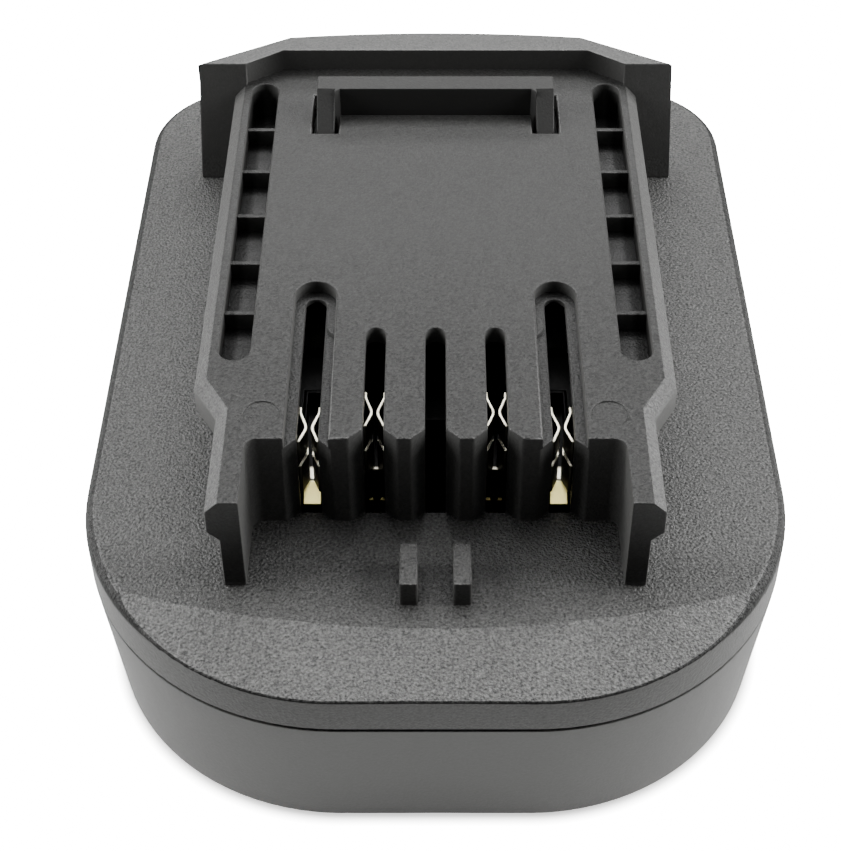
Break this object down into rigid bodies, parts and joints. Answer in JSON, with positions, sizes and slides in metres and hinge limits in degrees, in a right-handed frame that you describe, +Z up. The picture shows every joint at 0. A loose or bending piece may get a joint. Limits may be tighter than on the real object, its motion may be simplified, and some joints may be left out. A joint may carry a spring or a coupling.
{
  "type": "tool battery adapter",
  "caption": "Battery adapter with slide rails, comb of contact slots and sprung latch on top, and a rail receptacle for the source battery underneath.",
  "frame": {"origin": "centre of the base's bottom face", "axes": "+X right, +Y towards the release button at the rear, +Z up"},
  "size_m": [0.08, 0.112, 0.041],
  "materials": {
    "cover_plastic": "glass-filled nylon with a fine spark-eroded texture",
    "housing_plastic": "glass-filled nylon with a fine spark-eroded texture",
    "latch_plastic": "acetal moulding, fine matt",
    "inner_plastic": "plain moulding",
    "insulator_plastic": "plain moulding",
    "contact_metal": "tin-plated copper alloy, stamped",
    "blade_brass": "stamped brass strip",
    "spring_steel": "drawn steel wire and ground dowels",
    "screw_steel": "zinc-plated steel",
    "board_laminate": "glass-epoxy laminate with green resist",
    "component_plastic": "moulded component bodies"
  },
  "bodies": {
    "housing": {"upper_cover": "cover_plastic", "lower_housing": "housing_plastic", "latch_retainer": "inner_plastic", "contact_block": "insulator_plastic", "blade_block": "insulator_plastic", "contact_positive": "contact_metal", "contact_negative": "contact_metal", "contact_sense_left": "contact_metal", "contact_sense_right": "contact_metal", "blade_positive": "blade_brass", "blade_negative": "blade_brass", "signal_blades": "blade_brass", "busbar_positive": "blade_brass", "busbar_negative": "blade_brass", "latch_spring_left": "spring_steel", "latch_spring_right": "spring_steel", "guide_pins": "spring_steel", "retainer_screws": "screw_steel", "block_screws": "screw_steel", "board_screws": "screw_steel", "housing_screws": "screw_steel", "circuit_board": "board_laminate", "board_components": "component_plastic"},
    "latch": {"latch_hook": "latch_plastic", "release_button": "latch_plastic"}
  },
  "joints": [
    {"name": "latch_press", "type": "slide", "parent": "housing", "child": "latch", "axis": [0, 0, -1], "range_m": [0, 0.004], "stiffness_N_per_m": 1500, "springref_m": -0.002, "deforming": ["latch_spring_left", "latch_spring_right"]}
  ]
}
